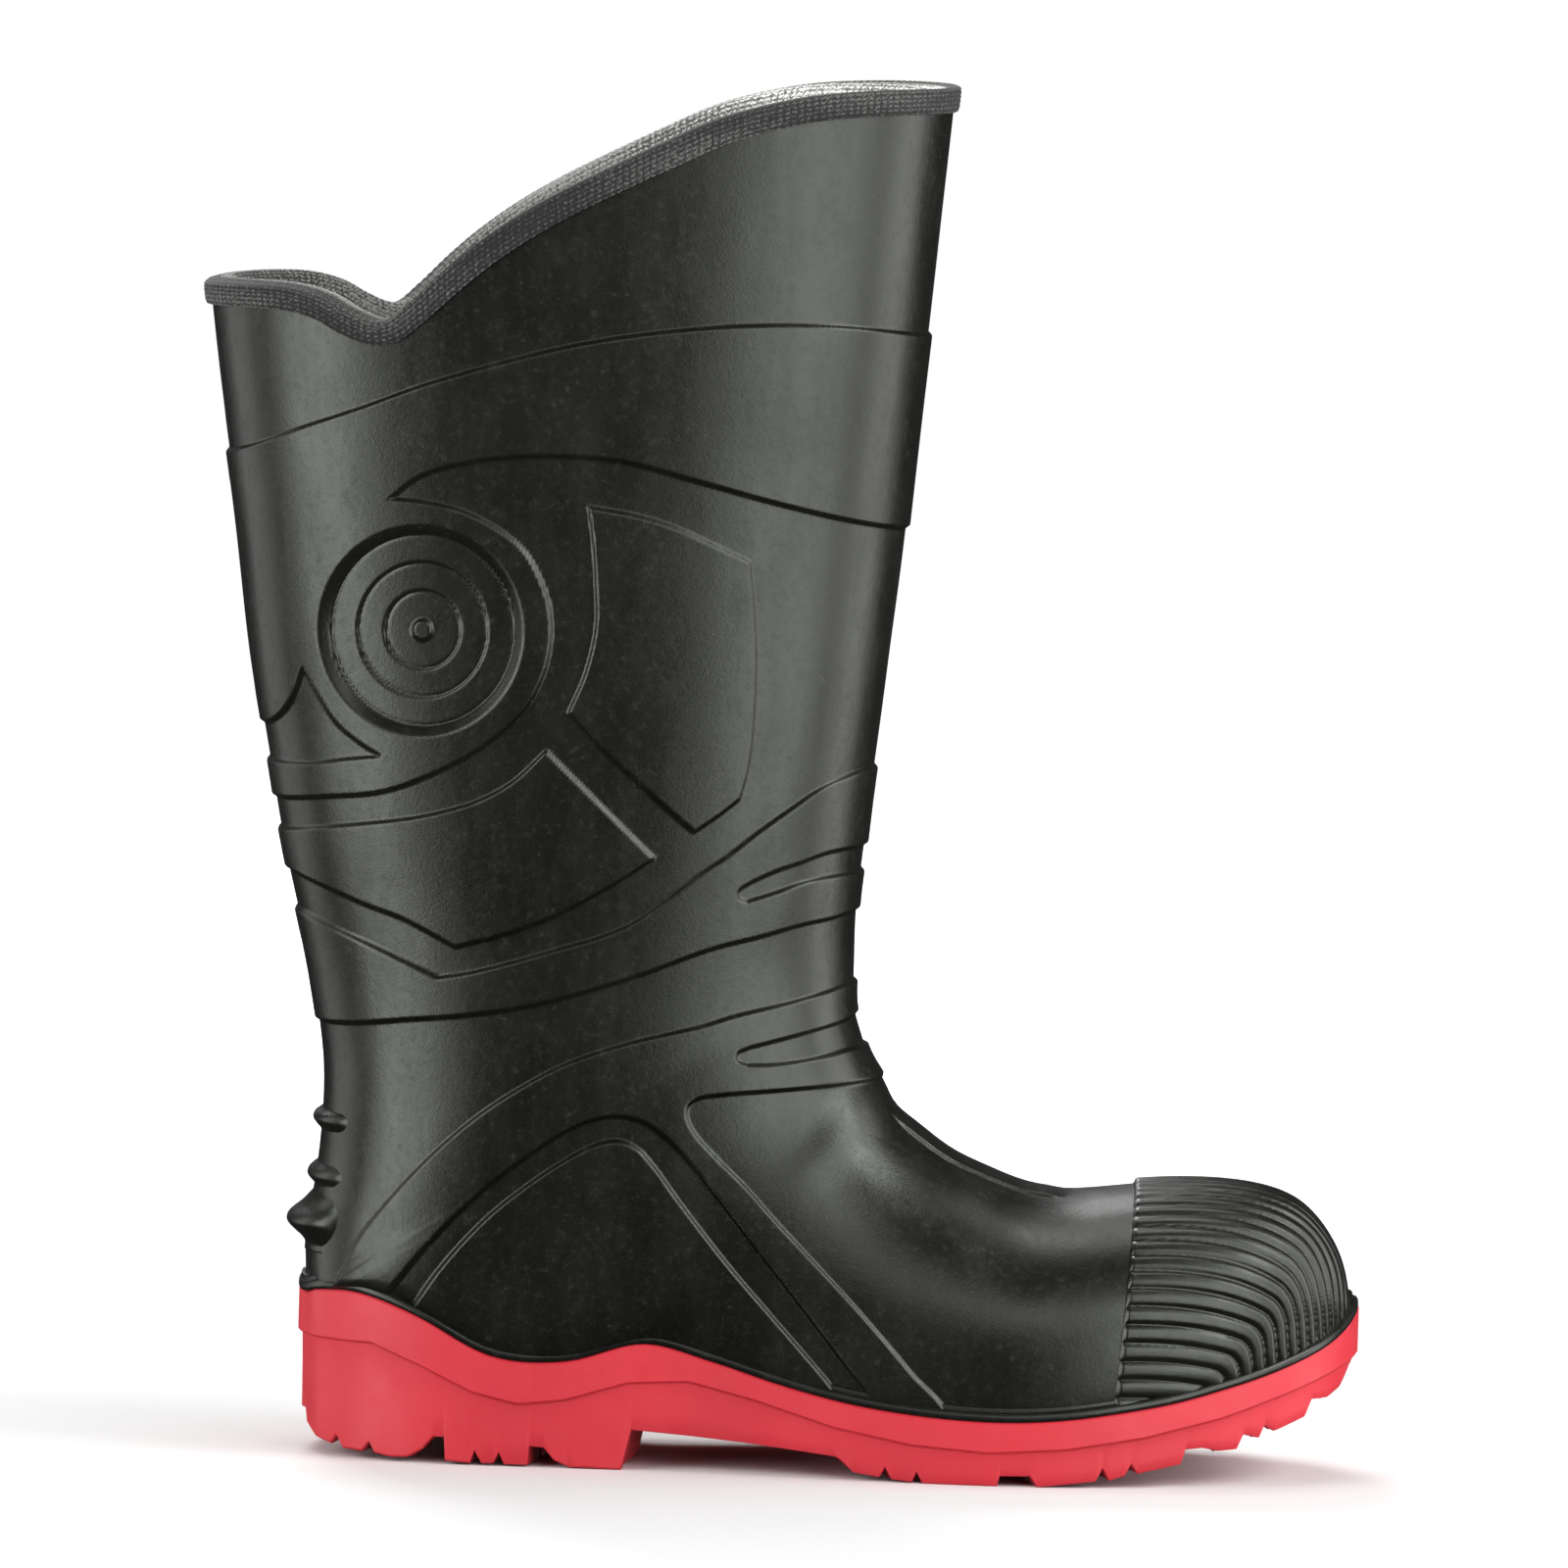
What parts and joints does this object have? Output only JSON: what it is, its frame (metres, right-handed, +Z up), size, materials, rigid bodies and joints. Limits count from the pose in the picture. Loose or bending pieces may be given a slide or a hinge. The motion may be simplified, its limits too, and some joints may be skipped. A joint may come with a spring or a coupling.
{
  "type": "fire boots",
  "caption": "Tall pull-on firefighting safety boot with moulded black upper, scalloped knit-bound collar, ribbed toe guard, heel kick-off ledges and lugged red outsole.",
  "frame": {"origin": "centre of the plan box at floor height", "axes": "+X from heel to toe, +Y to the inner side of a right foot, +Z up"},
  "size_m": [0.3355, 0.114, 0.3893],
  "materials": {
    "upper_black": "satin moulded polymer",
    "binding_knit": "ribbed knit",
    "lining_knit": "light knit",
    "steel": "plain",
    "strip_foam": "matt",
    "board": "pressed fibre",
    "footbed_foam": "cloth-faced foam",
    "sole_red": "satin moulded polymer"
  },
  "bodies": {
    "boot": {"upper": "upper_black", "toe_guard": "upper_black", "kick_ridges": "upper_black", "welt_bead": "upper_black", "collar_binding": "binding_knit", "lining": "lining_knit", "steel_toe_cap": "steel", "toe_cap_strip": "strip_foam", "steel_midsole": "steel", "ladder_shank": "steel", "insole_board": "board", "outsole": "sole_red"},
    "footbed": {"footbed": "footbed_foam"}
  },
  "joints": [
    {"name": "footbed_lift", "type": "hinge", "parent": "boot", "child": "footbed", "pos_m": [0.132, 0, 0.038], "axis": [0, 1, 0], "range_deg": [0, 15]}
  ]
}
